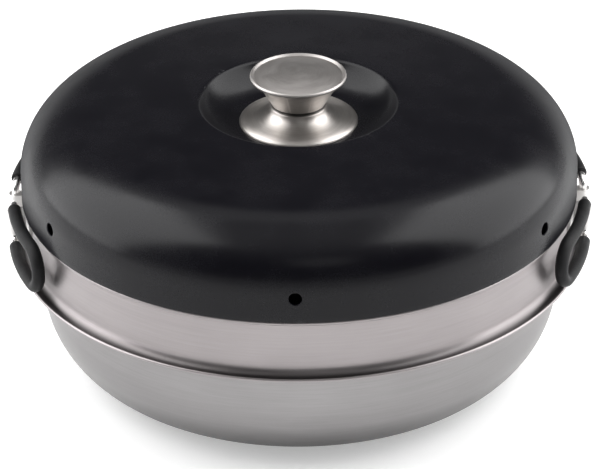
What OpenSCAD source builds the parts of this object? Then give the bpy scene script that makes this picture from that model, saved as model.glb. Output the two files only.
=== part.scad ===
// Camp oven: a round tray with a flame hole, a ring mould over it, a domed lid and four folding handle loops.
// Millimetres, +Z up, +X to the right handle. The origin is the centre of the face that stands on the ground.
// Heights in the Lid and Knob sections count from the lid's seat, every other height counts from the ground.

/* [Tray] */
// Radius of the tray's wall, outside
tray_r = 131.2; // [130.4:0.1:132]
// Radius where the flat floor ends and the round corner begins
tray_floor_r = 86; // [80:1:95]
// Height of the round corner
tray_corner_h = 47; // [36:1:52]
// Height of the rolled rim's top
tray_h = 62.5; // [61:0.1:62.7]
// Inner radius of the tray's rolled rim
tray_roll_r = 0.3; // [0.2:0.1:0.4]
// Radius of the flame hole
flame_r = 38; // [25:1:38]
// Height of the collar round the flame hole
collar_h = 12; // [6:1:16]

/* [Mould] */
// Thickness of the tray's, mould's and flue's sheet
sheet_t = 0.85; // [0.6:0.05:0.85]
// Radius of the band, outside
band_r = 137.5; // [137:0.1:138]
// Radius of the lip that rests on the tray
lip_r = 142.8; // [141.5:0.1:143]
// Height of the lip's upper face
lip_top = 64.5; // [64.5:0.1:65.5]
// Height of the bend between band and lip
lip_bend_h = 5.2; // [3:0.1:6]
// Radius of the basin that hangs in the tray
basin_r = 127.5; // [124:0.5:128]
// Height of the basin's floor, underside
basin_floor_z = 22; // [19:1:28]
// Radius of the basin's corner
basin_corner_r = 20; // [12:1:22]
// Height of the lid's seat
seat_z = 94.6; // [94:0.1:96]
// Inner radius of the band's rolled rim
band_roll_r = 0.4; // [0.2:0.1:0.5]

/* [Flue] */
// Radius of the flue's top, outside
flue_top_r = 30; // [26:1:34]
// Radius of the flue's foot, outside
flue_foot_r = 42; // [41:0.5:44]
// Height of the flue's top
flue_top_z = 108; // [100:1:114]
// Width of the seam round the flue's foot
flue_seam_w = 6; // [4:0.5:8]

/* [Lid] */
// Thickness of the lid's sheet
lid_t = 1.2; // [0.8:0.1:1.4]
// Radius of the lid's wall, outside
lid_r = 140.3; // [139.8:0.1:141]
// Height of the straight wall
lid_wall_h = 14; // [12:1:18]
// Width of the round shoulder
shoulder_w = 37.3; // [30:0.1:40]
// Height of the round shoulder
shoulder_h = 30.8; // [28:0.1:34]
// Fall of the lid's top from the dish to the shoulder, in degrees
crown_fall = 4; // [2:0.5:5]
// Radius of the dish's flat floor
dish_floor_r = 32; // [31:0.5:34]
// Height of the dish's flat floor
dish_floor_h = 37; // [35:0.5:38]
// Steepest slope of the dish's side, in degrees
dish_slope = 62; // [50:1:70]
// Radius of the bend at the dish's edge
dish_edge_r = 2.5; // [1.5:0.5:4]
// Outer radius of the skirt that drops into the mould
lid_skirt_r = 135.6; // [135:0.1:135.6]
// Drop of the skirt below the seat
lid_skirt_h = 5; // [3:0.5:8]
// Number of vent holes
vent_count = 6; // [4:1:8]
// Diameter of a vent hole
vent_d = 6.5; // [4:0.5:8]
// Height of the vent holes
vent_h = 13; // [10:0.5:14]
// Turn of the vent holes about the lid's axis, in degrees
vent_turn = -1; // [-25:1:25]

/* [Knob] */
// Widest radius of the cap
cap_r = 24.2; // [23:0.1:26]
// Height of the cap's widest edge
cap_edge_h = 62.2; // [61.5:0.1:63]
// Height of the cap's crown above its edge
cap_crown_h = 2.8; // [2.2:0.1:4]
// Radius of the neck's top
neck_top_r = 20.5; // [18:0.5:21]
// Radius of the neck's foot
neck_foot_r = 13.2; // [12.5:0.1:14]
// Height of the neck's foot
neck_foot_h = 47; // [46.8:0.1:48]
// Radius of the bell's edge
bell_r = 29.8; // [28:0.1:30]
// Radius of the bell's top
bell_top_r = 14; // [13.5:0.1:15]
// Height of the bell's top
bell_top_h = 46.2; // [45:0.1:46.3]
// Thickness of the knob's sheet
knob_t = 0.8; // [0.6:0.1:1]
// Diameter of the screw
screw_d = 5; // [4:0.5:6]

/* [Handles] */
// Diameter of the handle wire
wire_d = 4; // [3.5:0.1:4]
// Diameter of the grip sleeve
grip_d = 6.6; // [6:0.1:6.6]
// Radius of the folded wire's middle about the oven's axis
loop_r = 144.4; // [144.4:0.1:146]
// Height of the upper bar's middle
loop_top_z = 91.6; // [90:0.1:91.6]
// Distance between the upper and lower bars' middles
loop_gap = 21.2; // [20.6:0.1:21.4]
// Angle from the handle's middle to the turn of the loop, in degrees
turn_angle = 22.5; // [18:0.1:30]
// Angle from the handle's middle to the sleeve's end, in degrees
grip_angle = 6.6; // [6.6:0.1:10]
// Angle from the handle's middle to the wire's end bend, in degrees
bend_angle = 5.2; // [5.2:0.1:6]
// Radius of the wire's end bend
end_bend_r = 4; // [3.6:0.1:4]
// Thickness of the bracket's sheet
bracket_t = 1.4; // [1:0.1:1.4]
// Half of the angle that the bracket spans on the band, in degrees
bracket_angle = 12.5; // [10:0.5:15]
// Radial clearance of the wire in its knuckle
hinge_gap = 0.05; // [0.03:0.01:0.08]

/* [Hidden] */
$fn = 128;
// Points in each quarter turn of a profile
corner_n = 16;

// Tray
tray_corner_w = tray_r - tray_floor_r;
collar_bend_r = 5;

// Mould
lip_z = lip_top - 2 * sheet_t;
lip_bend_w = lip_r - sheet_t - band_r - 0.2;
lip_neck_r = 1.5;
rim_gap = 0.3;
mould_hole_r = flue_foot_r - 1.5;

// Flue
flue_roll_r = 0.4;
flue_seat_z = basin_floor_z + sheet_t;

// Lid
shoulder_r = lid_r - shoulder_w;
crown_a = atan(tan(crown_fall) * shoulder_w / shoulder_h);
crown_r = shoulder_r + shoulder_w * sin(crown_a);
crown_h = lid_wall_h + shoulder_h * cos(crown_a);
// Radius of the dish's side, found so that the edge's bend ends on the sloping top
dish_side_rise = crown_h - dish_floor_h + dish_edge_r * (cos(dish_slope) - cos(crown_fall));
dish_side_run = dish_floor_r + dish_edge_r * (sin(dish_slope) + sin(crown_fall)) - crown_r;
dish_side_r = (dish_side_rise - tan(crown_fall) * dish_side_run)
    / (1 - cos(dish_slope) + tan(crown_fall) * sin(dish_slope));
dish_edge_mid = [
    dish_floor_r + (dish_side_r + dish_edge_r) * sin(dish_slope),
    dish_floor_h + dish_side_r - (dish_side_r + dish_edge_r) * cos(dish_slope)
];

// Knob
cap_edge_r = 1.2;
cap_seat_h = cap_edge_h - 2.4;
cap_crown_r = (pow(cap_r - cap_edge_r, 2) + pow(cap_crown_h, 2)) / (2 * cap_crown_h);
bell_edge_w = 6;
bell_edge_h = 2.6;
bell_foot_h = 0.3;
bush_r = 5;
bush_collar_r = 11.5;
bush_top_h = neck_foot_h + 9;
washer_r = 9;
washer_t = 1.2;
screw_head_r = 4.6;
screw_head_h = 2.8;
screw_gap = 0.05;
under_dish_h = dish_floor_h - lid_t;

// Handles
wire_r = wire_d / 2;
grip_r = grip_d / 2;
turn_r = loop_gap / 2;
loop_mid_z = loop_top_z - turn_r;
hinge_r = sqrt(loop_r * loop_r + end_bend_r * end_bend_r);
hinge_a = bend_angle - atan(end_bend_r / loop_r);
hinge_x = hinge_r * cos(hinge_a);
hinge_y = hinge_r * sin(hinge_a);
pin_top = turn_r - end_bend_r;
pin_gap = 0.5;
elbow_extra = 0.03;
knuckle_h = 2 * (pin_top - 0.3);
knuckle_r = wire_r + hinge_gap + bracket_t;
bracket_h = knuckle_h + 4.4;

// Profile helpers

// Points on an ellipse about c, from angle a to angle b
function arc(c, rx, ry, a, b) = [
    for (i = [0 : corner_n])
        let (t = a + (b - a) * i / corner_n)
            [c[0] + rx * cos(t), c[1] + ry * sin(t)]
];
// Direction from point p to point q
function heading(p, q) = (q - p) / norm(q - p);
// The path without points that repeat the one before
function distinct(p) = [for (i = [0 : len(p) - 1]) if (i == 0 || norm(p[i] - p[max(i - 1, 0)]) > 0.001) p[i]];
// The path moved by t to the right of its own direction, with mitred corners
function right_of(p, t) = [
    for (i = [0 : len(p) - 1])
        let (
            u = heading(p[max(i - 1, 0)], p[max(i, 1)]),
            v = heading(p[min(i, len(p) - 2)], p[min(i + 1, len(p) - 1)]),
            m = (u + v) / (1 + u * v)
        )
            p[i] + t * [m[1], -m[0]]
];
function reversed(p) = [for (i = [len(p) - 1 : -1 : 0]) p[i]];

// Outer face of a rim rolled outwards on a wall of radius r, with its top at height z and inner radius roll
function rolled_rim(r, z, roll) = arc([r + roll, z - roll - sheet_t], roll, roll, -60, 180);

function reversed_part(p, i, j) = [for (k = [j : -1 : i]) p[k]];
function part(p, i, j) = [for (k = [i : j]) p[k]];

// Section of a sheet whose outer face follows the path and whose thickness t lies to its right
module sheet(path, t) {
    p = distinct(path);
    polygon(concat(p, reversed(right_of(p, t))));
}

// Ring of a bent sheet: its outer path from point i to point j with its inner path, turned round the axis.
// The rings of one sheet meet face to face, so that each can have simple collision pieces.
module ring(outer, inner, i, j) {
    rotate_extrude() polygon(concat(part(outer, i, j), reversed_part(inner, i, j)));
}

// Tray: one pressed sheet, from its rolled rim to the collar round the flame hole

tray_path = concat(
    rolled_rim(tray_r, tray_h, tray_roll_r),
    arc([tray_floor_r, tray_corner_h], tray_corner_w, tray_corner_h, 0, -90),
    arc([flame_r + collar_bend_r, collar_bend_r], collar_bend_r, collar_bend_r, -90, -180),
    [[flame_r, collar_h]]
);
tray_inside = right_of(tray_path, sheet_t);
tray_bowl_from = corner_n + 1 + corner_n / 4;
tray_floor_from = 2 * corner_n + 1;
tray_collar_from = tray_floor_from + 1;

module tray_rim() {
    color("silver") ring(tray_path, tray_inside, 0, tray_bowl_from);
}

module tray_bowl() {
    color("silver") ring(tray_path, tray_inside, tray_bowl_from, tray_floor_from);
}

module tray_floor() {
    color("silver") ring(tray_path, tray_inside, tray_floor_from, tray_collar_from);
}

module tray_collar() {
    color("silver") ring(tray_path, tray_inside, tray_collar_from, len(tray_path) - 1);
}

// Mould: one sheet makes the band, the lip and the basin. The lip is the sheet folded back on itself.

band_path = concat(
    rolled_rim(band_r, seat_z - rim_gap, band_roll_r),
    arc([band_r + lip_bend_w, lip_top + lip_bend_h], lip_bend_w, lip_bend_h, -180, -90)
);
band_inside = right_of(band_path, sheet_t);
basin_path = concat(
    arc([basin_r + lip_neck_r, lip_z - lip_neck_r], lip_neck_r, lip_neck_r, 90, 180),
    arc([basin_r - basin_corner_r, basin_floor_z + basin_corner_r], basin_corner_r, basin_corner_r, 0, -90),
    [[mould_hole_r, basin_floor_z]]
);
basin_inside = right_of(basin_path, sheet_t);
bend_from = corner_n + 1;
fold_end = len(band_path) - corner_n / 2;

module mould_band() {
    color("silver") ring(band_path, band_inside, 0, bend_from);
}

module mould_lip() {
    nose = [lip_r - sheet_t, lip_top - sheet_t];
    color("silver") rotate_extrude() polygon(concat(
        part(band_path, bend_from, len(band_path) - 1),
        arc(nose, sheet_t, sheet_t, 90, -90),
        part(basin_path, 0, corner_n),
        reversed_part(basin_inside, 0, corner_n),
        [[band_inside[fold_end][0], nose[1]]],
        reversed_part(band_inside, bend_from, fold_end)
    ));
}

module mould_wall() {
    color("silver") ring(basin_path, basin_inside, corner_n, corner_n + 1);
}

module mould_corner() {
    color("silver") ring(basin_path, basin_inside, corner_n + 1, 2 * corner_n + 1);
}

module mould_floor() {
    color("silver") ring(basin_path, basin_inside, 2 * corner_n + 1, 2 * corner_n + 2);
}

// Flue: a tapering tube with a seam on the mould's floor

flue_path = concat(
    rolled_rim(flue_top_r, flue_top_z, flue_roll_r),
    [
        [flue_foot_r, flue_seat_z + 3],
        [flue_foot_r + 1, flue_seat_z + 1.4],
        [flue_foot_r + 2.4, flue_seat_z + sheet_t],
        [flue_foot_r + flue_seam_w, flue_seat_z + sheet_t]
    ]
);
flue_inside = right_of(flue_path, sheet_t);

module flue_tube() {
    color("silver") ring(flue_path, flue_inside, 0, corner_n + 1);
}

module flue_foot() {
    color("silver") ring(flue_path, flue_inside, corner_n + 1, len(flue_path) - 1);
}

// Lid: one pressed sheet, from the screw hole in its dish to its skirt. Heights are from its seat.

dish_arc = arc([dish_floor_r, dish_floor_h + dish_side_r], dish_side_r, dish_side_r, -90, dish_slope - 90);
dish_edge_arc = arc(dish_edge_mid, dish_edge_r, dish_edge_r, 90 + dish_slope, 90 - crown_fall);
lid_path = concat(
    [[screw_d / 2 + 0.25, dish_floor_h]],
    dish_arc,
    part(dish_edge_arc, 1, corner_n),
    arc([shoulder_r, lid_wall_h], shoulder_w, shoulder_h, 90 - crown_a, 0),
    [[lid_r, 0], [lid_skirt_r, 0], [lid_skirt_r, -lid_skirt_h]]
);
lid_inside = right_of(lid_path, lid_t);
crown_from = 2 * corner_n + 1;
shoulder_from = crown_from + 1;
side_from = shoulder_from + 7;
wall_from = side_from + 7;

// Ring of the lid, at its height above the floor
module lid_ring(i, j) {
    color("dimgray") translate([0, 0, seat_z]) ring(lid_path, lid_inside, i, j);
}

module lid_dish_floor() lid_ring(0, 1);
module lid_dish_side() lid_ring(1, crown_from);
module lid_crown() lid_ring(crown_from, shoulder_from);
module lid_shoulder() lid_ring(shoulder_from, side_from);
module lid_side() lid_ring(side_from, wall_from);

module lid_wall() {
    color("dimgray") translate([0, 0, seat_z]) difference() {
        ring(lid_path, lid_inside, wall_from, len(lid_path) - 1);
        for (i = [0 : vent_count - 1])
            rotate([0, 0, vent_turn - 90 + i * 360 / vent_count])
                translate([lid_r - 10, 0, vent_h])
                    rotate([0, 90, 0]) cylinder(h = 20, d = vent_d);
    }
}

// Knob

module knob_cap() {
    color("lightgray") translate([0, 0, seat_z]) rotate_extrude() polygon(distinct(concat(
        [[0, cap_seat_h], [neck_top_r + 0.6, cap_seat_h]],
        arc([cap_r - cap_edge_r, cap_edge_h], cap_edge_r, cap_edge_r, -60, 78),
        [for (i = [corner_n - 1 : -1 : 0])
            let (r = (cap_r - cap_edge_r) * i / corner_n)
                [r, cap_edge_h + cap_crown_h + sqrt(pow(cap_crown_r, 2) - r * r) - cap_crown_r]]
    )));
}

// The cone's wall is as wide as its level ends need, and a floor closes its foot
module knob_neck() {
    rise = cap_seat_h - neck_foot_h;
    run = neck_top_r - neck_foot_r;
    wall_w = knob_t * norm([rise, run]) / rise;
    foot_r = neck_foot_r + run * knob_t / rise - wall_w;
    color("lightgray") translate([0, 0, seat_z]) rotate_extrude() polygon([
        [neck_top_r, cap_seat_h],
        [neck_foot_r, neck_foot_h],
        [bush_r + 0.05, neck_foot_h],
        [bush_r + 0.05, neck_foot_h + knob_t],
        [foot_r, neck_foot_h + knob_t],
        [neck_top_r - wall_w, cap_seat_h]
    ]);
}

// The bell flares out below its top, then rounds down to its edge
module knob_bell() {
    flare_w = bell_r - bell_top_r - bell_edge_w;
    flare_h = bell_top_h - dish_floor_h - bell_edge_h - bell_foot_h;
    color("lightgray") translate([0, 0, seat_z]) rotate_extrude() sheet(concat(
        [[bush_r + 0.05, bell_top_h], [bell_top_r - 0.6, bell_top_h]],
        arc([bell_top_r + flare_w, bell_top_h], flare_w, flare_h, 184, 255),
        arc([bell_r - bell_edge_w, dish_floor_h + bell_foot_h], bell_edge_w, bell_edge_h, 75, 0),
        [[bell_r, dish_floor_h]]
    ), knob_t);
}

module knob_bush() {
    color("gray") translate([0, 0, seat_z]) difference() {
        union() {
            translate([0, 0, dish_floor_h + 0.3])
                cylinder(h = bush_top_h - dish_floor_h - 0.3, r = bush_r);
            translate([0, 0, bell_top_h])
                cylinder(h = neck_foot_h - bell_top_h, r = bush_collar_r);
        }
        translate([0, 0, dish_floor_h])
            cylinder(h = bush_top_h - dish_floor_h - 3, d = screw_d + 2 * screw_gap);
    }
}

module knob_washer() {
    color("silver") translate([0, 0, seat_z + under_dish_h - washer_t]) difference() {
        cylinder(h = washer_t, r = washer_r);
        translate([0, 0, -1]) cylinder(h = washer_t + 2, r = screw_d / 2 + 0.25);
    }
}

module knob_screw() {
    color("silver") translate([0, 0, seat_z + under_dish_h - washer_t - screw_head_h]) difference() {
        union() {
            cylinder(h = screw_head_h, r = screw_head_r);
            cylinder(h = screw_head_h + washer_t + lid_t + bush_top_h - dish_floor_h - 5, d = screw_d);
        }
        for (a = [0, 90])
            rotate([0, 0, a]) translate([-2.6, -0.5, -1]) cube([5.2, 1, 2.6]);
    }
}

// Handles

// A node made for the right side's back is carried to the other three places by mirrors
module placed(left, front) {
    mirror([left ? 1 : 0, 0, 0]) mirror([0, front ? 1 : 0, 0]) children();
}

// Arc of the section given as child, in the upright plane along the wall at angle a, about height z
module upright_arc(a, z, r, from, sweep) {
    rotate([0, 0, a]) translate([loop_r, 0, z])
        rotate([0, 90, 0]) rotate([0, 0, from])
            rotate_extrude(angle = sweep) translate([r, 0]) children();
}

// Ball of radius r at a place where two arcs of a wire meet, at angle a and height z
module elbow(a, z, r) {
    rotate([0, 0, a]) translate([loop_r, 0, z]) sphere(r + elbow_extra);
}

// Two bars along the wall from angle a to the turn, and the turn, all of radius r
module loop_run(a, r) {
    for (z = [loop_mid_z - turn_r, loop_mid_z + turn_r]) {
        translate([0, 0, z]) rotate([0, 0, a])
            rotate_extrude(angle = turn_angle - a) translate([loop_r, 0]) circle(r);
        elbow(turn_angle, z, r);
    }
    upright_arc(turn_angle, loop_mid_z, turn_r, 0, 180) circle(r);
}

module wire(left, front) {
    color("silver") placed(left, front) {
        loop_run(bend_angle, wire_r);
        for (side = [-1, 1]) {
            elbow(bend_angle, loop_mid_z + side * turn_r, wire_r);
            upright_arc(bend_angle, loop_mid_z + side * pin_top, end_bend_r, 225 - 45 * side, 90)
                circle(wire_r);
            translate([hinge_x, hinge_y, loop_mid_z + side * pin_top]) sphere(wire_r + elbow_extra);
            translate([hinge_x, hinge_y, loop_mid_z + side * (pin_top + pin_gap) / 2])
                cylinder(h = pin_top - pin_gap, r = wire_r, center = true);
        }
    }
}

module grip(left, front) {
    color("black") placed(left, front) difference() {
        loop_run(grip_angle, grip_r);
        loop_run(grip_angle - 1, wire_r + 0.05);
    }
}

// A plate hugs the band, and two tongues leave it and curl round the wires' ends
module bracket(left) {
    color("silver") placed(left, false) difference() {
        union() {
            translate([0, 0, loop_mid_z - bracket_h / 2])
                rotate([0, 0, -bracket_angle])
                    rotate_extrude(angle = 2 * bracket_angle)
                        translate([band_r, 0]) square([bracket_t, bracket_h]);
            for (side = [-1, 1]) translate([0, 0, loop_mid_z - knuckle_h / 2]) {
                tongue_y = side * (hinge_y - knuckle_r + bracket_t / 2) - bracket_t / 2;
                translate([hinge_x, side * hinge_y, 0]) cylinder(h = knuckle_h, r = knuckle_r);
                translate([band_r + bracket_t / 2, tongue_y, 0])
                    cube([hinge_x - band_r - bracket_t / 2, bracket_t, knuckle_h]);
            }
        }
        for (side = [-1, 1])
            translate([hinge_x, side * hinge_y, loop_mid_z - knuckle_h])
                cylinder(h = 2 * knuckle_h, r = wire_r + hinge_gap);
    }
}

module left_bracket() bracket(true);
module right_bracket() bracket(false);
module left_front_wire() wire(true, true);
module left_back_wire() wire(true, false);
module right_front_wire() wire(false, true);
module right_back_wire() wire(false, false);
module left_front_grip() grip(true, true);
module left_back_grip() grip(true, false);
module right_front_grip() grip(false, true);
module right_back_grip() grip(false, false);

tray_rim();
tray_bowl();
tray_floor();
tray_collar();
mould_band();
mould_lip();
mould_wall();
mould_corner();
mould_floor();
flue_tube();
flue_foot();
lid_wall();
lid_side();
lid_shoulder();
lid_crown();
lid_dish_side();
lid_dish_floor();
knob_cap();
knob_neck();
knob_bell();
knob_bush();
knob_washer();
knob_screw();
left_bracket();
right_bracket();
left_front_wire();
left_back_wire();
right_front_wire();
right_back_wire();
left_front_grip();
left_back_grip();
right_front_grip();
right_back_grip();
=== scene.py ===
import math

import bmesh
import bpy
from mathutils import Matrix, Vector


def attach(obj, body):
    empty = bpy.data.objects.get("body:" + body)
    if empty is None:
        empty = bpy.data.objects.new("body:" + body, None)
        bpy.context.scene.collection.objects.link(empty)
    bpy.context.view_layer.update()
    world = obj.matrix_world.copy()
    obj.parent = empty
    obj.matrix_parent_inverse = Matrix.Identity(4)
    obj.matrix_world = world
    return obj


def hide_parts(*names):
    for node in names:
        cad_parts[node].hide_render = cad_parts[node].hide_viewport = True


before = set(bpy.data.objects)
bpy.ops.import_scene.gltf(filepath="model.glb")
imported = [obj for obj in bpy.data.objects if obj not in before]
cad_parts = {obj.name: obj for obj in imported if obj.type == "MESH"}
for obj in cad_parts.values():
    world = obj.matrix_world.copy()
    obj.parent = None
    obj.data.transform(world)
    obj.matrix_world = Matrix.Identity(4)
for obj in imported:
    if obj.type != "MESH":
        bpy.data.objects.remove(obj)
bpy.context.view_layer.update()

MM = 0.001

# Steps round a turned piece, in a corner's arc and round a tube
AROUND = 240
CORNER = 16
TUBE_SIDES = 28

# Sizes of the solids, in millimetres, as the part's source has them
SHEET_T = 0.85
TRAY_R = 131.2
TRAY_FLOOR_R = 86
TRAY_CORNER_H = 47
TRAY_H = 62.5
TRAY_ROLL_R = 0.3
FLAME_R = 38
COLLAR_H = 12
COLLAR_BEND_R = 5
BAND_R = 137.5
BAND_ROLL_R = 0.4
LIP_R = 142.8
LIP_TOP = 64.5
LIP_BEND_H = 5.2
LIP_BEND_W = LIP_R - SHEET_T - BAND_R - 0.2
LIP_NECK_R = 1.5
LIP_Z = LIP_TOP - 2 * SHEET_T
BASIN_R = 127.5
BASIN_FLOOR_Z = 22
BASIN_CORNER_R = 20
SEAT_Z = 94.6
RIM_GAP = 0.3
FLUE_TOP_R = 30
FLUE_FOOT_R = 42
FLUE_TOP_Z = 108
FLUE_SEAM_W = 6
FLUE_BEND_W = 2.4
FLUE_BEND_H = 3
FLUE_ROLL_R = 0.4
FLUE_SEAT_Z = BASIN_FLOOR_Z + SHEET_T
MOULD_HOLE_R = FLUE_FOOT_R - 1.5
LID_T = 1.2
LID_R = 140.3
LID_WALL_H = 14
SHOULDER_W = 37.3
SHOULDER_H = 30.8
CROWN_FALL = 4
DISH_FLOOR_R = 32
DISH_FLOOR_H = 37
DISH_SLOPE = 62
DISH_EDGE_R = 2.5
LID_SKIRT_R = 135.6
LID_SKIRT_H = 5
VENTS = 6
VENT_R = 3.25
VENT_H = 13
VENT_TURN = -1
CAP_R = 24.2
CAP_EDGE_R = 1.2
CAP_EDGE_H = 62.2
CAP_CROWN_H = 2.8
CAP_SEAT_H = CAP_EDGE_H - 2.4
NECK_TOP_R = 20.5
CAP_SEAT_R = NECK_TOP_R + 0.6
NECK_FOOT_R = 13.2
NECK_FOOT_H = 47
BELL_R = 29.8
BELL_TOP_R = 14
BELL_BEND_R = BELL_TOP_R - 0.6
BELL_TOP_H = 46.2
BELL_EDGE_W = 6
BELL_EDGE_H = 2.6
BELL_FOOT_H = 0.3
KNOB_T = 0.8
KNOB_HOLE_R = 5.05
SCREW_HOLE_R = 2.75
WIRE_R = 2
BORE_R = WIRE_R + 0.05
GRIP_R = 3.3
LOOP_R = 144.4
LOOP_TOP_Z = 91.6
TURN_R = 10.6
LOOP_MID_Z = LOOP_TOP_Z - TURN_R
TURN_ANGLE = 22.5
GRIP_ANGLE = 6.6
BEND_ANGLE = 5.2
END_BEND_R = 4
PIN_TOP = TURN_R - END_BEND_R
PIN_GAP = 0.5

# Roundings that the solids don't have, in millimetres
SHEET_EASE = 0.12
LID_EASE = 0.25
VENT_EASE = 0.35
WIRE_EASE = 0.3
GRIP_EASE = 0.45
BORE_EASE = 0.2
BORE_MOUTH = 0.8
BRACKET_EASE = 0.15
# Corners that turn by more than these are eased, or shown sharp
EASE_ANGLE = math.radians(40)
SHARP_ANGLE = math.radians(50)

# Solids that one shown piece stands for
TRAY_NODES = ["tray_rim", "tray_bowl", "tray_floor", "tray_collar"]
MOULD_NODES = ["mould_band", "mould_lip", "mould_wall", "mould_corner", "mould_floor"]
FLUE_NODES = ["flue_tube", "flue_foot"]
LID_NODES = ["lid_wall", "lid_side", "lid_shoulder", "lid_crown", "lid_dish_side", "lid_dish_floor"]


# Profile helpers: a path is a list of (radius, height) in millimetres

def cosd(a):
    return math.cos(math.radians(a))


def sind(a):
    return math.sin(math.radians(a))


def arc(c, rx, ry, a, b, n=CORNER):
    """Points on an ellipse about c, from angle a to angle b."""
    turns = [a + (b - a) * i / n for i in range(n + 1)]
    return [(c[0] + rx * cosd(t), c[1] + ry * sind(t)) for t in turns]


def distinct(path):
    """The path without points that repeat the one before."""
    kept = [path[0]]
    for p in path[1:]:
        if math.dist(p, kept[-1]) > 0.001:
            kept.append(p)
    return kept


def right_of(path, t):
    """The path moved by t to the right of its own direction, with mitred corners."""
    points = [Vector(p) for p in path]
    moved = []
    for i, p in enumerate(points):
        u = (points[max(i, 1)] - points[max(i - 1, 0)]).normalized()
        v = (points[min(i + 1, len(points) - 1)] - points[min(i, len(points) - 2)]).normalized()
        m = (u + v) / (1 + u.dot(v))
        moved.append((p.x + t * m.y, p.y - t * m.x))
    return moved


def rolled_rim(r, z, roll):
    """Outer face of a rim rolled outwards on a wall of radius r, with its top at height z."""
    return arc((r + roll, z - roll - SHEET_T), roll, roll, -60, 180)


def sheet(path, t):
    """Closed section of a sheet whose outer face follows the path."""
    outer = distinct(path)
    return outer + right_of(outer, t)[::-1]


def eased(section, ease, closed=True):
    """The section with each sharp corner cut back by a small rounding. An open one keeps its ends."""
    result = []
    count = len(section)
    for i in range(count):
        if not closed and i in (0, count - 1):
            result.append(section[i])
            continue
        before, at, after = (Vector(section[(i + k) % count]) for k in (-1, 0, 1))
        u, v = at - before, after - at
        if u.length < 1e-6 or v.length < 1e-6 or u.angle(v) < EASE_ANGLE:
            result.append(tuple(at))
            continue
        cut = min(ease, u.length / 2.5, v.length / 2.5)
        start, end = at - u.normalized() * cut, at + v.normalized() * cut
        for k in range(4):
            s = k / 3
            result.append(tuple(start.lerp(at, s).lerp(at.lerp(end, s), s)))
    return result


# Mesh helpers

def piece(name, mesh, body, slot, material, *nodes):
    """A shown piece made from a mesh, riding on a body in place of CAD nodes."""
    obj = bpy.data.objects.new(name, mesh)
    bpy.context.scene.collection.objects.link(obj)
    mesh.materials.append(material)
    mesh.shade_smooth()
    mesh.set_sharp_from_angle(angle=SHARP_ANGLE)
    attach(obj, body)
    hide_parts(*nodes)


def mesh_of(name, points, faces):
    """A mesh with outward normals, from points in millimetres."""
    mesh = bpy.data.meshes.new(name)
    mesh.from_pydata([Vector(p) * MM for p in points], [], faces)
    work = bmesh.new()
    work.from_mesh(mesh)
    bmesh.ops.recalc_face_normals(work, faces=work.faces)
    work.to_mesh(mesh)
    work.free()
    return mesh


def band_faces(ring, after):
    """Faces between two closed rings with as many points."""
    faces = []
    for k in range(len(ring)):
        n = (k + 1) % len(ring)
        faces.append([ring[k], ring[n], after[n], after[k]])
    return faces


def turned_mesh(name, section):
    """A closed section turned round the Z axis. Points on the axis become one point each."""
    turns = [360 * k / AROUND for k in range(AROUND)]
    points, rings = [], []
    for r, z in section:
        if r < 1e-6:
            rings.append([len(points)] * AROUND)
            points.append((0, 0, z))
            continue
        rings.append([len(points) + k for k in range(AROUND)])
        points += [(r * cosd(turn), r * sind(turn), z) for turn in turns]
    faces = []
    for i, ring in enumerate(rings):
        above = rings[(i + 1) % len(rings)]
        for k in range(AROUND):
            n = (k + 1) % AROUND
            corners = list(dict.fromkeys([ring[k], ring[n], above[n], above[k]]))
            if len(corners) > 2:
                faces.append(corners)
    return mesh_of(name, points, faces)


def raised(section):
    """A section given from the lid's seat, moved up to its height above the floor."""
    return [(r, z + SEAT_Z) for r, z in section]


# Tray, mould and flue

def tray_section():
    """Rolled rim, deep rounded corner, floor and the collar round the flame hole."""
    corner_w = TRAY_R - TRAY_FLOOR_R
    return sheet(
        rolled_rim(TRAY_R, TRAY_H, TRAY_ROLL_R)
        + arc((TRAY_FLOOR_R, TRAY_CORNER_H), corner_w, TRAY_CORNER_H, 0, -90, 40)
        + arc((FLAME_R + COLLAR_BEND_R, COLLAR_BEND_R), COLLAR_BEND_R, COLLAR_BEND_R, -90, -180)
        + [(FLAME_R, COLLAR_H)],
        SHEET_T,
    )


def mould_section():
    """One sheet makes the band, the lip and the basin: the lip is the sheet folded back on itself."""
    nose = (LIP_R - SHEET_T, LIP_TOP - SHEET_T)
    corner_mid = (BASIN_R - BASIN_CORNER_R, BASIN_FLOOR_Z + BASIN_CORNER_R)
    upper = distinct(
        rolled_rim(BAND_R, SEAT_Z - RIM_GAP, BAND_ROLL_R)
        + arc((BAND_R + LIP_BEND_W, LIP_TOP + LIP_BEND_H), LIP_BEND_W, LIP_BEND_H, -180, -90)
    )
    lower = distinct(
        arc((BASIN_R + LIP_NECK_R, LIP_Z - LIP_NECK_R), LIP_NECK_R, LIP_NECK_R, 90, 180)
        + arc(corner_mid, BASIN_CORNER_R, BASIN_CORNER_R, 0, -90)
        + [(MOULD_HOLE_R, BASIN_FLOOR_Z)]
    )
    inside = right_of(upper, SHEET_T)
    fold_end = len(upper) - CORNER // 2
    return (
        upper
        + arc(nose, SHEET_T, SHEET_T, 90, -90)
        + lower
        + right_of(lower, SHEET_T)[::-1]
        + [(inside[fold_end][0], nose[1])]
        + inside[: fold_end + 1][::-1]
    )


def flue_section():
    """A cone with a rolled top and a foot turned out on the basin's floor."""
    return sheet(
        rolled_rim(FLUE_TOP_R, FLUE_TOP_Z, FLUE_ROLL_R)
        + [
            (FLUE_FOOT_R, FLUE_SEAT_Z + FLUE_BEND_H),
            (FLUE_FOOT_R + 1, FLUE_SEAT_Z + 1.4),
            (FLUE_FOOT_R + FLUE_BEND_W, FLUE_SEAT_Z + SHEET_T),
            (FLUE_FOOT_R + FLUE_SEAM_W, FLUE_SEAT_Z + SHEET_T),
        ],
        SHEET_T,
    )


# Lid

# Steps round the lid, and from a vent's middle to the side of the square patch round it
LID_AROUND = 360
PATCH_HALF = 3
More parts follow.
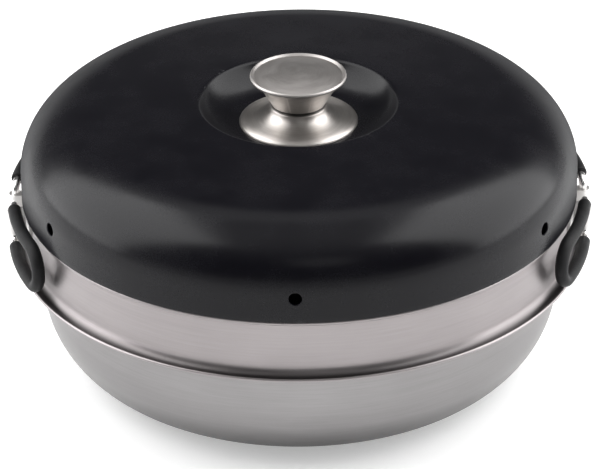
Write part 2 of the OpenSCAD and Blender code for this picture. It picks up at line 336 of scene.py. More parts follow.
# Heights of the patch's rows above the lid's seat
PATCH_STEP = 1.7
PATCH_HEIGHTS = [VENT_H + PATCH_STEP * k for k in range(-PATCH_HALF, PATCH_HALF + 1)]
# Rings round the bore: distances from it in the patch, and angles along its eased edge
VENT_MARGINS = (1.2, 0.7)
VENT_TURNS = (0, 22, 45, 68, 90)


def wall_r(z, inset=0):
    """Radius of the lid's outer wall at a height above its seat, moved in by inset."""
    rise = max(0, z - LID_WALL_H) / SHOULDER_H
    return LID_R - SHOULDER_W + SHOULDER_W * math.sqrt(1 - rise * rise) - inset


def lid_paths():
    """Outer and inner faces of the lid, from the hole in the dish to below the vents."""
    shoulder_r = LID_R - SHOULDER_W
    crown_a = math.degrees(math.atan(math.tan(math.radians(CROWN_FALL)) * SHOULDER_W / SHOULDER_H))
    crown_r = shoulder_r + SHOULDER_W * sind(crown_a)
    crown_h = LID_WALL_H + SHOULDER_H * cosd(crown_a)
    fall = math.tan(math.radians(CROWN_FALL))
    rise = crown_h - DISH_FLOOR_H + DISH_EDGE_R * (cosd(DISH_SLOPE) - cosd(CROWN_FALL))
    run = DISH_FLOOR_R + DISH_EDGE_R * (sind(DISH_SLOPE) + sind(CROWN_FALL)) - crown_r
    side_r = (rise - fall * run) / (1 - cosd(DISH_SLOPE) + fall * sind(DISH_SLOPE))
    edge_mid = (
        DISH_FLOOR_R + (side_r + DISH_EDGE_R) * sind(DISH_SLOPE),
        DISH_FLOOR_H + side_r - (side_r + DISH_EDGE_R) * cosd(DISH_SLOPE),
    )
    dish = [(SCREW_HOLE_R, DISH_FLOOR_H)] + arc(
        (DISH_FLOOR_R, DISH_FLOOR_H + side_r), side_r, side_r, -90, DISH_SLOPE - 90, 14
    )
    edge = arc(edge_mid, DISH_EDGE_R, DISH_EDGE_R, 90 + DISH_SLOPE, 90 - CROWN_FALL, 12)
    top_end = math.degrees(math.asin((PATCH_HEIGHTS[-1] - LID_WALL_H) / SHOULDER_H))
    crown = [
        (edge[-1][0] + (crown_r - edge[-1][0]) * k / 5, edge[-1][1] + (crown_h - edge[-1][1]) * k / 5)
        for k in range(1, 5)
    ]
    shoulder = arc((shoulder_r, LID_WALL_H), SHOULDER_W, SHOULDER_H, 90 - crown_a, top_end, 36)
    above = distinct(dish + edge[1:] + crown + shoulder[:-1])
    outer = above + [(wall_r(z), z) for z in reversed(PATCH_HEIGHTS)]
    inner = right_of(above + [(wall_r(PATCH_HEIGHTS[-1]), PATCH_HEIGHTS[-1])], LID_T)[:-1]
    inner += [(wall_r(z, LID_T), z) for z in reversed(PATCH_HEIGHTS)]
    return outer, inner


def lid_closing(outer_end, inner_end):
    """Foot of the wall, step and skirt: down the outer face from the vents and back up the inner one."""
    rim = [(LID_R, 3), (LID_R, 0), (LID_SKIRT_R, 0), (LID_SKIRT_R, -LID_SKIRT_H)]
    rim_inner = right_of([outer_end] + rim, LID_T)[1:]
    return eased([outer_end] + rim + rim_inner[::-1] + [inner_end], LID_EASE, closed=False)[1:-1]


def lid_mesh():
    """The lid turned as rings, with each vent let into the rings by a patch of its own."""
    outer, inner = lid_paths()
    closing = lid_closing(outer[-1], inner[-1])
    section = outer + closing + inner[::-1]
    outer_patch = range(len(outer) - len(PATCH_HEIGHTS), len(outer) - 1)
    inner_patch = range(len(outer) + len(closing), len(outer) + len(closing) + len(PATCH_HEIGHTS) - 1)
    start = VENT_TURN - 90
    step = 360 / LID_AROUND
    pitch = LID_AROUND // VENTS
    points = [
        (r * cosd(start + k * step), r * sind(start + k * step), z + SEAT_Z)
        for r, z in section
        for k in range(LID_AROUND)
    ]
    faces = []
    for i in range(len(section)):
        patched = i in outer_patch or i in inner_patch
        for k in range(LID_AROUND):
            near = (k + PATCH_HALF) % pitch < 2 * PATCH_HALF
            if patched and near:
                continue
            n = (k + 1) % LID_AROUND
            j = (i + 1) % len(section)
            faces.append([i * LID_AROUND + k, i * LID_AROUND + n, j * LID_AROUND + n, j * LID_AROUND + k])
    for vent in range(VENTS):
        outside = vent_loop(outer_patch[0], vent * pitch, True)
        inside = vent_loop(inner_patch[0], vent * pitch, False)
        add_vent(points, faces, outside, inside, start + vent * 360 / VENTS)
    return mesh_of("lid_dome", points, faces)


def vent_loop(first, column, outside):
    """Points round a vent's patch as (index, across, height), from its upper right corner round."""
    size = 2 * PATCH_HALF
    cells = [(size, k) for k in range(size)] + [(size - k, size) for k in range(size)]
    cells += [(0, size - k) for k in range(size)] + [(k, 0) for k in range(size)]
    loop = []
    for across, down in cells:
        row = first + (down if outside else size - down)
        k = (column + across - PATCH_HALF) % LID_AROUND
        angle = (across - PATCH_HALF) * 360 / LID_AROUND
        loop.append((row * LID_AROUND + k, math.radians(angle) * LID_R, PATCH_HEIGHTS[size - down]))
    return loop


def add_vent(points, faces, outside, inside, heading):
    """Fills a vent's patches on both faces of the wall down to its eased bore."""
    ends = []
    for loop, inset, inwards in ((outside, 0, 1), (inside, LID_T, -1)):
        rings = vent_rings(points, loop, heading, inset, inwards)
        count = len(loop)
        for i in range(count):
            a, b, c = rings[0][2 * i], rings[0][2 * i + 1], rings[0][(2 * i + 2) % (2 * count)]
            faces.append([loop[i][0], b, a])
            faces.append([loop[i][0], loop[(i + 1) % count][0], c, b])
        for lower, upper in zip(rings, rings[1:]):
            faces += band_faces(lower, upper)
        ends.append(rings[-1])
    faces += band_faces(*ends)


def vent_rings(points, loop, heading, inset, inwards):
    """Rings round a vent on one face of the wall, from its patch down into the eased bore."""
    bearings = [math.atan2(h - VENT_H, a) for _, a, h in loop]
    fine = []
    for i, b in enumerate(bearings):
        turn = (bearings[(i + 1) % len(loop)] - b + math.pi) % (2 * math.pi) - math.pi
        fine += [b, b + turn / 2]
    sizes = [(VENT_R + margin, 0) for margin in VENT_MARGINS]
    sizes += [(VENT_R + VENT_EASE * (1 - sind(q)), VENT_EASE * (1 - cosd(q))) for q in VENT_TURNS]
    rings = []
    for size, depth in sizes:
        rings.append([len(points) + k for k in range(len(fine))])
        for b in fine:
            height = VENT_H + size * math.sin(b)
            angle = heading + math.degrees(size * math.cos(b) / LID_R)
            r = wall_r(height, inset + inwards * depth)
            points.append((r * cosd(angle), r * sind(angle), height + SEAT_Z))
    return rings


# Knob

def cap_section():
    """A solid disc with a rounded edge and a crowned top."""
    edge_r = CAP_R - CAP_EDGE_R
    ball_r = (edge_r ** 2 + CAP_CROWN_H ** 2) / (2 * CAP_CROWN_H)
    crown = []
    for i in range(23, -1, -1):
        r = edge_r * i / 24
        crown.append((r, CAP_EDGE_H + CAP_CROWN_H + math.sqrt(ball_r ** 2 - r * r) - ball_r))
    return distinct(
        [(0, CAP_SEAT_H), (CAP_SEAT_R, CAP_SEAT_H)]
        + arc((edge_r, CAP_EDGE_H), CAP_EDGE_R, CAP_EDGE_R, -60, 78)
        + crown
    )


def neck_section():
    """A cone between level ends, with a floor at its foot."""
    rise, run = CAP_SEAT_H - NECK_FOOT_H, NECK_TOP_R - NECK_FOOT_R
    wall_w = KNOB_T * math.hypot(rise, run) / rise
    return [
        (NECK_TOP_R, CAP_SEAT_H),
        (NECK_FOOT_R, NECK_FOOT_H),
        (KNOB_HOLE_R, NECK_FOOT_H),
        (KNOB_HOLE_R, NECK_FOOT_H + KNOB_T),
        (NECK_FOOT_R + run * KNOB_T / rise - wall_w, NECK_FOOT_H + KNOB_T),
        (NECK_TOP_R - wall_w, CAP_SEAT_H),
    ]


def bell_section():
    """A flared sheet from the neck's foot down to the dish."""
    flare_w = BELL_R - BELL_TOP_R - BELL_EDGE_W
    flare_h = BELL_TOP_H - DISH_FLOOR_H - BELL_EDGE_H - BELL_FOOT_H
    return sheet(
        [(KNOB_HOLE_R, BELL_TOP_H), (BELL_BEND_R, BELL_TOP_H)]
        + arc((BELL_TOP_R + flare_w, BELL_TOP_H), flare_w, flare_h, 184, 255, 24)
        + arc((BELL_R - BELL_EDGE_W, DISH_FLOOR_H + BELL_FOOT_H), BELL_EDGE_W, BELL_EDGE_H, 75, 0)
        + [(BELL_R, DISH_FLOOR_H)],
        KNOB_T,
    )


# Handles: paths are made for the right side's back and mirrored to the other three places

def wall_frame(angle):
    """Directions away from the axis and along the wall at an angle round it."""
    return Vector((cosd(angle), sind(angle), 0)), Vector((-sind(angle), cosd(angle), 0))


def bar(z, a, b, n):
    """Path along the wall at height z, as (point, outward direction)."""
    path = []
    for i in range(n + 1):
        out, _ = wall_frame(a + (b - a) * i / n)
        path.append((out * LOOP_R + Vector((0, 0, z)), out))
    return path


def upright_bend(angle, mid_z, r, a, b, n):
    """Path round a bend in the upright plane along the wall. Angle 0 lies along the wall, 90 is up."""
    out, along = wall_frame(angle)
    path = []
    for i in range(n + 1):
        t = a + (b - a) * i / n
        point = out * LOOP_R + along * (r * cosd(t)) + Vector((0, 0, mid_z + r * sind(t)))
        path.append((point, out))
    return path


def loop_path(angle):
    """Upper bar, turn and lower bar."""
    return (
        bar(LOOP_MID_Z + TURN_R, angle, TURN_ANGLE, 18)
        + upright_bend(TURN_ANGLE, LOOP_MID_Z, TURN_R, 90, -90, 28)[1:]
        + bar(LOOP_MID_Z - TURN_R, TURN_ANGLE, angle, 18)[1:]
    )


def wire_path():
    """The loop with its ends bent to meet on the hinge line."""
    top = upright_bend(BEND_ANGLE, LOOP_MID_Z + PIN_TOP, END_BEND_R, 180, 90, 10)
    low = upright_bend(BEND_ANGLE, LOOP_MID_Z - PIN_TOP, END_BEND_R, -90, -180, 10)
    out = top[0][1]
    upper_end = (top[0][0] - Vector((0, 0, PIN_TOP - PIN_GAP / 2)), out)
    lower_end = (low[-1][0] + Vector((0, 0, PIN_TOP - PIN_GAP / 2)), out)
    return [upper_end] + top[:-1] + loop_path(BEND_ANGLE) + low[1:] + [lower_end]


def tube_rings(path, section, left, front):
    """Points and rings along a path. The section gives each ring as (place on the path, radius)."""
    lengths = [0]
    for (p, _), (q, _) in zip(path, path[1:]):
        lengths.append(lengths[-1] + (q - p).length)

    def at(s):
        i = max(k for k in range(len(path) - 1) if lengths[k] <= s + 1e-9)
        t = (s - lengths[i]) / (lengths[i + 1] - lengths[i])
        return path[i][0].lerp(path[i + 1][0], t), path[i][1].lerp(path[i + 1][1], t), i

    flip = Matrix.Diagonal((-1 if left else 1, -1 if front else 1, 1))
    points, rings = [], []
    for s, r in section(lengths):
        p, out, i = at(s)
        before, after = path[max(i - 1, 0)][0], path[min(i + 2, len(path) - 1)][0]
        ahead = (after - before).normalized()
        out = (out - ahead * out.dot(ahead)).normalized()
        side = ahead.cross(out)
        ring = []
        for k in range(TUBE_SIDES):
            angle = 2 * math.pi * k / TUBE_SIDES
            ring.append(len(points))
            points.append(tuple(flip @ (p + out * (r * math.cos(angle)) + side * (r * math.sin(angle)))))
        rings.append(ring)
    return points, rings


def tube_faces(rings, closed):
    """Faces along a tube's rings, back to the first where it is closed, else with flat ends."""
    faces = []
    pairs = list(zip(rings, rings[1:]))
    if closed:
        pairs.append((rings[-1], rings[0]))
    for ring, after in pairs:
        faces += band_faces(ring, after)
    if not closed:
        faces += [rings[0][::-1], rings[-1]]
    return faces


def wire_rings(lengths):
    """A round wire with eased ends."""
    end = lengths[-1]
    start = [(0, WIRE_R - WIRE_EASE), (WIRE_EASE / 3, WIRE_R - WIRE_EASE / 3), (WIRE_EASE, WIRE_R)]
    inside = [(s, WIRE_R) for s in lengths if WIRE_EASE < s < end - WIRE_EASE]
    return start + inside + [(end - s, r) for s, r in reversed(start)]


def grip_rings(lengths):
    """A sleeve with rounded ends and the wire's bore through it."""
    end = lengths[-1]
    start = [(GRIP_EASE * (1 - sind(q)), GRIP_R - GRIP_EASE * (1 - cosd(q))) for q in (90, 60, 30, 0)]
    inside = [(s, GRIP_R) for s in lengths if GRIP_EASE < s < end - GRIP_EASE]
    finish = [(end - s, r) for s, r in reversed(start)]
    mouth = [(0, BORE_R + BORE_EASE), (BORE_EASE, BORE_R)]
    back = [(s, BORE_R) for s in reversed(lengths) if BORE_MOUTH < s < end - BORE_MOUTH]
    return start + inside + finish + [(end - s, r) for s, r in mouth] + back + mouth[::-1]


# Materials

# Distance from the axis, in metres, inside which the grain gets no finer
LEAST_RADIUS = 0.0005

# Painted shade in the lip's crease: share of steel colour left deepest in it, and the heights between which
# the painted shade fades out
CREASE_SHADE_LEFT = 0.2
CREASE_SHADE_FROM = LIP_TOP + 0.4
CREASE_SHADE_TO = LIP_TOP + 0.65 * LIP_BEND_H

# Painted shade at the tray's floor: share of steel colour left there, outside and inside, and the heights
# between which the painted shade fades out
LOW_SHADE_LEFT = 0.15
INSIDE_SHADE_LEFT = 0.75
LOW_SHADE_FROM = 4
LOW_SHADE_TO = 28

# Painted shade at the knob's joints: share of steel colour left there, and how far above and below them the
# painted shade fades out
JOINT_SHADE_LEFT = 0.12
NECK_FOOT_SHADE = (0.55, 1.0)
CAP_SEAT_SHADE = (0.3, 0.7)


def add(tree, kind, values=None, **settings):
    """A shader node with its settings and the values of its named inputs."""
    node = tree.nodes.new(kind)
    for key, value in settings.items():
        setattr(node, key, value)
    for key, value in (values or {}).items():
        node.inputs[key].default_value = value
    return node


def link(tree, source, target):
    """Joins an output to an input."""
    tree.links.new(source, target)


def math_node(tree, operation, a, b=0.0):
    """Result of a math operation on sockets or numbers."""
    node = add(tree, "ShaderNodeMath", operation=operation)
    for socket, value in zip(node.inputs, (a, b)):
        if isinstance(value, (int, float)):
            socket.default_value = value
        else:
            link(tree, value, socket)
    return node.outputs[0]


def spread(tree, value, low, high, to_low, to_high):
    """A value between two limits carried to two others, and held there."""
    node = add(tree, "ShaderNodeMapRange", {1: low, 2: high, 3: to_low, 4: to_high})
    link(tree, value, node.inputs[0])
    return node.outputs[0]


def mixed(tree, factor, a, b):
    """Colour between two colours."""
    node = add(tree, "ShaderNodeMix", data_type="RGBA")
    link(tree, factor, node.inputs[0])
    for socket, value in ((node.inputs[6], a), (node.inputs[7], b)):
        if isinstance(value, tuple):
            socket.default_value = (*value, 1)
        else:
            link(tree, value, socket)
    return node.outputs[2]


def start_material(name, values):
    """A material with its shader's own constants set."""
    material = bpy.data.materials.new(name)
    material.use_nodes = True
    tree = material.node_tree
    shader = tree.nodes["Principled BSDF"]
    for key, value in values.items():
        shader.inputs[key].default_value = value
    return material, tree, shader


def position(tree):
    """Place on the object, in metres."""
    return add(tree, "ShaderNodeTexCoord").outputs["Object"]


def parts_of(tree, vector):
    """The X, Y and Z of a vector."""
    split = add(tree, "ShaderNodeSeparateXYZ")
    link(tree, vector, split.inputs[0])
    return split.outputs


def times(tree, a, b):
    """Product of sockets or numbers."""
    return math_node(tree, "MULTIPLY", a, b)


def radius_of(tree, x, y):
    """Distance from the Z axis, in metres."""
    return math_node(tree, "SQRT", math_node(tree, "ADD", times(tree, x, x), times(tree, y, y)))


def ring_grain(tree, along, across):
    """Noise drawn out round the Z axis: cells per radian along, cells per metre across."""
    x, y, z = parts_of(tree, position(tree))
    r = radius_of(tree, x, y)
    safe = math_node(tree, "MAXIMUM", r, LEAST_RADIUS)
    place = add(tree, "ShaderNodeCombineXYZ")
    link(tree, times(tree, math_node(tree, "DIVIDE", x, safe), along), place.inputs[0])
    link(tree, times(tree, math_node(tree, "DIVIDE", y, safe), along), place.inputs[1])
    link(tree, times(tree, z, across), place.inputs[2])
    values = {"Scale": 1.0, "Detail": 2.0, "Roughness": 0.6}
    noise = add(tree, "ShaderNodeTexNoise", values, noise_dimensions="4D")
    link(tree, place.outputs[0], noise.inputs["Vector"])
    link(tree, times(tree, r, across), noise.inputs["W"])
    return noise.outputs[0]


def cloud(tree, scale, detail):
    """Soft noise, with cells per metre as its scale."""
    noise = add(tree, "ShaderNodeTexNoise", {"Scale": scale, "Detail": detail, "Roughness": 0.55})
    link(tree, position(tree), noise.inputs["Vector"])
    return noise.outputs[0]


def bump(tree, shader, height, depth, strength):
    """Bump of a depth in metres."""
    node = add(tree, "ShaderNodeBump", {"Strength": strength, "Distance": depth})
    link(tree, height, node.inputs["Height"])
    link(tree, node.outputs[0], shader.inputs["Normal"])


def worn_edges(tree, low=0.53, high=0.6):
    """1 on the outer edges of a shape and 0 on its faces."""
    geometry = add(tree, "ShaderNodeNewGeometry")
    return spread(tree, geometry.outputs["Pointiness"], low, high, 0, 1)


def place_on(tree):
    """Distance from the Z axis and height, in millimetres."""
    x, y, z = parts_of(tree, position(tree))
    return times(tree, radius_of(tree, x, y), 1000), times(tree, z, 1000)


def lip_crease_shade(tree):
    """Share of steel colour left under painted shade in the crease between band and lip, where the crease
    lies in shade.
    """
    r, z = place_on(tree)
    # Painted shade: the steel darkens towards the bottom of the crease, between the band's radius and the
    # lip's nose
    above = spread(tree, z, CREASE_SHADE_FROM, CREASE_SHADE_TO, CREASE_SHADE_LEFT, 1)
    outside = spread(tree, r, LIP_R - SHEET_T - 0.2, LIP_R - SHEET_T + 0.2, 0, 1)
    inside = spread(tree, r, BAND_R + 0.05, BAND_R + 0.15, 1, 0)
    return math_node(tree, "MAXIMUM", math_node(tree, "MAXIMUM", above, outside), inside)


def tray_low_shade(tree):
    """Share of steel colour left under painted shade on the tray: the floor's reflected shadow, darkest
    outside towards its floor, lighter on faces that look up.
    """
    _, z = place_on(tree)
    _, _, upwards = parts_of(tree, add(tree, "ShaderNodeNewGeometry").outputs["Normal"])
    inside = spread(tree, upwards, 0, 0.2, 0, INSIDE_SHADE_LEFT)
    # Painted shade: darker towards the floor on the outer face, held lighter on faces that look upwards
    return math_node(tree, "MAXIMUM", spread(tree, z, LOW_SHADE_FROM, LOW_SHADE_TO, LOW_SHADE_LEFT, 1), inside)


def knob_joint_shade(tree):
    """Share of steel colour left under painted shade beside the knob's two joints, in the gap at the neck's
    foot and under the cap.
    """
    _, z = place_on(tree)
    shares = []
    # Painted shade: a dark band at the neck's foot and another just under the cap
    for joint_h, reach in ((NECK_FOOT_H, NECK_FOOT_SHADE), (CAP_SEAT_H, CAP_SEAT_SHADE)):
        away = math_node(tree, "ABSOLUTE", math_node(tree, "SUBTRACT", z, SEAT_Z + joint_h))
        shares.append(spread(tree, away, *reach, JOINT_SHADE_LEFT, 1))
    return math_node(tree, "MINIMUM", *shares)


def brushed_steel(name, dark, light, rough, anisotropy, across, along, shade):
    """Steel brushed round the axis, with soft handling marks and, by place, painted shade."""
    material, tree, shader = start_material(
        name, {"Metallic": 1.0, "Anisotropic": anisotropy, "Anisotropic Rotation": 0.25}
    )
    fine = ring_grain(tree, along, across)
    broad = ring_grain(tree, along * 0.4, across * 0.12)
    marks = cloud(tree, 32.0, 2.0)
    grain = math_node(tree, "ADD", times(tree, fine, 0.6), times(tree, broad, 0.4))
    tone = spread(tree, grain, 0.35, 0.65, 0, 1)
    steel = mixed(tree, tone, dark, light)
    edge = tuple(min(1.0, c * 1.12) for c in light)
    steel = mixed(tree, worn_edges(tree), steel, edge)
    # Painted shade: where the shade share is below 1, the steel colour is mixed towards black
    if shade:
        steel = mixed(tree, shade(tree), (0.0, 0.0, 0.0), steel)
    link(tree, steel, shader.inputs["Base Color"])
    base = spread(tree, grain, 0.3, 0.7, rough - 0.05, rough + 0.05)
    smudge = spread(tree, marks, 0.35, 0.65, -0.025, 0.025)
    link(tree, math_node(tree, "ADD", base, smudge), shader.inputs["Roughness"])
    tangent = add(tree, "ShaderNodeTangent", direction_type="RADIAL", axis="Z")
    link(tree, tangent.outputs[0], shader.inputs["Tangent"])
    bump(tree, shader, grain, 0.00001, 0.4)
    return material


def lid_coating():
    """Charcoal black baked coating: satin, duller at a glance, with a fine grain and paler edges."""
    material, tree, shader = start_material("lid_coating", {"Specular IOR Level": 0.2})
    fine = cloud(tree, 1500.0, 2.0)
    soft = cloud(tree, 45.0, 3.0)
    tone = mixed(tree, spread(tree, soft, 0.35, 0.65, 0, 1), (0.0025, 0.0023, 0.004), (0.0042, 0.004, 0.006))
    colour = mixed(tree, worn_edges(tree, 0.55, 0.7), tone, (0.045, 0.045, 0.047))
    link(tree, colour, shader.inputs["Base Color"])
    base = spread(tree, fine, 0.35, 0.65, 0.22, 0.27)
    smudge = spread(tree, soft, 0.35, 0.65, -0.02, 0.03)
    glance = spread(tree, add(tree, "ShaderNodeLayerWeight").outputs["Facing"], 0.6, 0.95, 0, 0.45)
    rough = math_node(tree, "ADD", math_node(tree, "ADD", base, smudge), glance)
    link(tree, rough, shader.inputs["Roughness"])
    bump(tree, shader, fine, 0.000008, 0.5)
    return material


def grip_silicone():
    """Matt black silicone with a dusty bloom."""
    material, tree, shader = start_material("grip_silicone", {"Specular IOR Level": 0.2})
    fine = cloud(tree, 1800.0, 2.0)
    dust = cloud(tree, 160.0, 3.0)
    tone = mixed(tree, spread(tree, dust, 0.4, 0.7, 0, 1), (0.006, 0.006, 0.0065), (0.012, 0.012, 0.013))
    colour = mixed(tree, worn_edges(tree, 0.52, 0.62), tone, (0.035, 0.035, 0.036))
    link(tree, colour, shader.inputs["Base Color"])
    link(tree, spread(tree, fine, 0.35, 0.65, 0.5, 0.62), shader.inputs["Roughness"])
    bump(tree, shader, fine, 0.00002, 0.5)
    return material


def bright_steel(name, colour, rough):
    """Smooth steel with fine scratches and a slight cloud."""
    material, tree, shader = start_material(name, {"Metallic": 1.0})
    scratches = cloud(tree, 2600.0, 2.0)
    marks = cloud(tree, 120.0, 3.0)
    dull = tuple(c * 0.85 for c in colour)
    link(tree, mixed(tree, spread(tree, marks, 0.35, 0.65, 0, 1), dull, colour), shader.inputs["Base Color"])
    link(tree, spread(tree, scratches, 0.3, 0.7, rough - 0.04, rough + 0.06), shader.inputs["Roughness"])
    bump(tree, shader, scratches, 0.00001, 0.4)
    return material


def seen_as_background(tree):
    """1 for rays that show the background: from the camera, a gloss or a clear body."""
    path = add(tree, "ShaderNodeLightPath")
    seen = math_node(tree, "MAXIMUM", path.outputs["Is Camera Ray"], path.outputs["Is Glossy Ray"])
    return math_node(tree, "MAXIMUM", seen, path.outputs["Is Transmission Ray"])


# Studio: lengths in metres, angles in degrees, radiance in watts per square metre and steradian

FLOOR_HALF = 6
FLOOR_COLOUR = 0.8
FLOOR_PALE = 1.02 * FLOOR_COLOUR
FLOOR_GLOW = 0.38
BOX_AZIMUTH = 96
BOX_DISTANCE = 0.98
BOX_SIZE = (1.2, 1.6)
BOX_HEIGHT = 0.77
BOX_RADIANCE = 4.1
BACK_DISTANCE = 0.7
BACK_SIZE = (1.5, 0.5)
BACK_HEIGHT = 1.4
BACK_RADIANCE = 0.6
FRONT_AZIMUTH = 10
FRONT_DISTANCE = 1.6
FRONT_SIZE = (0.7, 0.5)
FRONT_HEIGHT = 1.5
FRONT_RADIANCE = 0.8
LAMP_AIM = Vector((0, 0, 0.1))
# Light of the room as (sine of the height angle, level)
ROOM_LIGHT = [(0.0, 1.0), (0.04, 0.9), (0.16, 0.14), (0.6, 0.1), (0.82, 0.3), (1.0, 0.85)]
CAMERA_ELEVATION = 27.9
CAMERA_DISTANCE = 2.240
CAMERA_LENS = 265.6
CAMERA_ROLL = -0.55
CAMERA_AIM = Vector((0.00015, 0, 0.0666))


def make_floor():
    """White floor that keeps the object's shadow."""
    mesh = bpy.data.meshes.new("floor")
    work = bmesh.new()
    bmesh.ops.create_grid(work, x_segments=24, y_segments=24, size=FLOOR_HALF)
    work.to_mesh(mesh)
    work.free()
    floor = bpy.data.objects.new("floor", mesh)
    bpy.context.scene.collection.objects.link(floor)
    material, tree, shader = start_material("floor", {"Roughness": 0.9, "Specular IOR Level": 0.1})
    pale = mixed(tree, cloud(tree, 3.0, 2.0), (FLOOR_COLOUR,) * 3, (FLOOR_PALE,) * 3)
    link(tree, pale, shader.inputs["Base Color"])
    link(tree, times(tree, seen_as_background(tree), FLOOR_GLOW), shader.inputs["Emission Strength"])
    shader.inputs["Emission Color"].default_value = (1, 1, 1, 1)
    mesh.materials.append(material)


def make_world():
    """Dim room with a white horizon."""
    world = bpy.data.worlds.new("studio")
    bpy.context.scene.world = world
    world.use_nodes = True
    tree = world.node_tree
    _, _, upwards = parts_of(tree, add(tree, "ShaderNodeTexCoord").outputs["Generated"])
    ramp = add(tree, "ShaderNodeValToRGB")
    while len(ramp.color_ramp.elements) < len(ROOM_LIGHT):
        ramp.color_ramp.elements.new(0.5)
    for element, (place, level) in zip(ramp.color_ramp.elements, ROOM_LIGHT):
        element.position = place
        element.color = (level, level, level, 1)
    link(tree, upwards, ramp.inputs[0])
    background = tree.nodes["Background"]
    link(tree, ramp.outputs[0], background.inputs["Color"])


def soft_box(name, azimuth, distance, height, size, radiance):
    """Area lamp facing the object. Azimuth 0 is the camera's side and 90 the right."""
    lamp = bpy.data.lights.new(name, "AREA")
    lamp.shape = "RECTANGLE"
    lamp.size, lamp.size_y = size
    lamp.energy = radiance * math.pi * size[0] * size[1]
    obj = bpy.data.objects.new(name, lamp)
    bpy.context.scene.collection.objects.link(obj)
    place = Vector((distance * sind(azimuth), -distance * cosd(azimuth), height))
    facing = (LAMP_AIM - place).to_track_quat("-Z", "Y")
    obj.matrix_world = Matrix.Translation(place) @ facing.to_matrix().to_4x4()


def make_camera():
    """Camera at the photograph's height and distance, turned a little about its own axis."""
    data = bpy.data.cameras.new("camera")
    data.lens = CAMERA_LENS
    data.sensor_fit = "HORIZONTAL"
    data.sensor_width = 36
    camera = bpy.data.objects.new("camera", data)
    bpy.context.scene.collection.objects.link(camera)
    place = Vector((
        0,
        -CAMERA_DISTANCE * cosd(CAMERA_ELEVATION),
        SEAT_Z * MM + CAMERA_DISTANCE * sind(CAMERA_ELEVATION),
    ))
    facing = (CAMERA_AIM - place).to_track_quat("-Z", "Y").to_matrix().to_4x4()
    roll = Matrix.Rotation(math.radians(CAMERA_ROLL), 4, "Z")
    camera.matrix_world = Matrix.Translation(place) @ facing @ roll
    bpy.context.scene.camera = camera


# Dark and light tone, roughness, anisotropy, grains per metre across and per radian along, painted shade by
# place
BRUSHED_STEELS = {
    "tray_steel": ((0.252, 0.244, 0.245), (0.29, 0.281, 0.282), 0.4, 0.3, 1400.0, 5.0, tray_low_shade),
    "mould_steel": ((0.286, 0.264, 0.266), (0.326, 0.302, 0.304), 0.38, 0.5, 1400.0, 5.0, lip_crease_shade),
    "flue_steel": ((0.5, 0.49, 0.485), (0.6, 0.59, 0.585), 0.4, 0.5, 1400.0, 5.0, None),
    "knob_steel": ((0.45, 0.423, 0.4), (0.56, 0.53, 0.505), 0.42, 0.72, 2200.0, 3.0, knob_joint_shade),
    "cap_steel": ((0.37, 0.348, 0.335), (0.45, 0.428, 0.415), 0.42, 0.0, 2200.0, 3.0, None),
    "bracket_steel": ((0.5, 0.49, 0.48), (0.6, 0.59, 0.58), 0.45, 0.3, 1400.0, 5.0, None),
}


def make_materials():
    """Every material by its name."""
    made = {name: brushed_steel(name, *look) for name, look in BRUSHED_STEELS.items()}
    made["wire_steel"] = bright_steel("wire_steel", (0.88, 0.87, 0.86), 0.2)
    made["hidden_steel"] = bright_steel("hidden_steel", (0.5, 0.5, 0.5), 0.4)
    made["lid_coating"] = lid_coating()
    made["grip_silicone"] = grip_silicone()
    return made


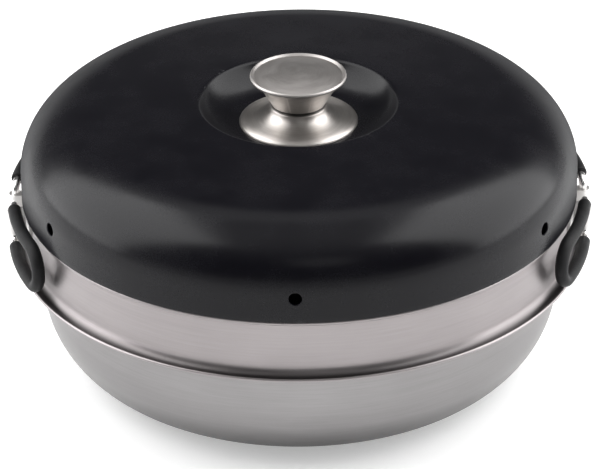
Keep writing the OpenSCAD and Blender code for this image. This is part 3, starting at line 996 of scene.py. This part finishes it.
def make_shells(materials):
    """The turned sheets: name, section, body, slot, material and the solids that it stands for."""
    shells = (
        ("tray_shell", tray_section(), "tray", "tray_steel", "tray_steel", TRAY_NODES),
        ("mould_shell", mould_section(), "mould", "mould_steel", "mould_steel", MOULD_NODES),
        ("flue_shell", flue_section(), "mould", "flue_steel", "flue_steel", FLUE_NODES),
        ("knob_top", raised(cap_section()), "lid", "knob_steel", "cap_steel", ["knob_cap"]),
        ("knob_stem", raised(neck_section()), "lid", "knob_steel", "knob_steel", ["knob_neck"]),
        ("knob_flare", raised(bell_section()), "lid", "knob_steel", "knob_steel", ["knob_bell"]),
    )
    for name, section, body, slot, look, nodes in shells:
        mesh = turned_mesh(name, eased(section, SHEET_EASE))
        piece(name, mesh, body, slot, materials[look], *nodes)
    piece("lid_dome", lid_mesh(), "lid", "lid_coating", materials["lid_coating"], *LID_NODES)


def make_handles(materials):
    """Four loops of wire, each with its sleeve."""
    parts = (
        ("_bail", wire_path(), wire_rings, False, "wire_steel", "_wire"),
        ("_sleeve", loop_path(GRIP_ANGLE), grip_rings, True, "grip_silicone", "_grip"),
    )
    for left in (True, False):
        for front in (True, False):
            place = ("left" if left else "right") + ("_front" if front else "_back")
            for ending, path, section, closed, slot, node in parts:
                points, rings = tube_rings(path, section, left, front)
                mesh = mesh_of(place + ending, points, tube_faces(rings, closed))
                piece(place + ending, mesh, place + "_loop", slot, materials[slot], place + node)


def finish_solids(materials):
    """CAD solids that stay in view get their material and eased edges."""
    kept = {
        "left_bracket": "bracket_steel",
        "right_bracket": "bracket_steel",
        "knob_bush": "hidden_steel",
        "knob_washer": "hidden_steel",
        "knob_screw": "hidden_steel",
    }
    for name, slot in kept.items():
        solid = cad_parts[name]
        solid.data.materials.clear()
        solid.data.materials.append(materials[slot])
        ease = solid.modifiers.new("eased_edges", "BEVEL")
        ease.width = BRACKET_EASE * MM
        ease.segments = 2
        ease.limit_method = "ANGLE"
        ease.angle_limit = SHARP_ANGLE


make_camera()
make_floor()
make_world()
soft_box("left_box", -BOX_AZIMUTH, BOX_DISTANCE, BOX_HEIGHT, BOX_SIZE, BOX_RADIANCE)
soft_box("right_box", BOX_AZIMUTH, BOX_DISTANCE, BOX_HEIGHT, BOX_SIZE, BOX_RADIANCE)
soft_box("back_box", 180, BACK_DISTANCE, BACK_HEIGHT, BACK_SIZE, BACK_RADIANCE)
soft_box("front_box", FRONT_AZIMUTH, FRONT_DISTANCE, FRONT_HEIGHT, FRONT_SIZE, FRONT_RADIANCE)
bpy.context.scene.view_settings.view_transform = "Standard"
looks = make_materials()
make_shells(looks)
make_handles(looks)
finish_solids(looks)
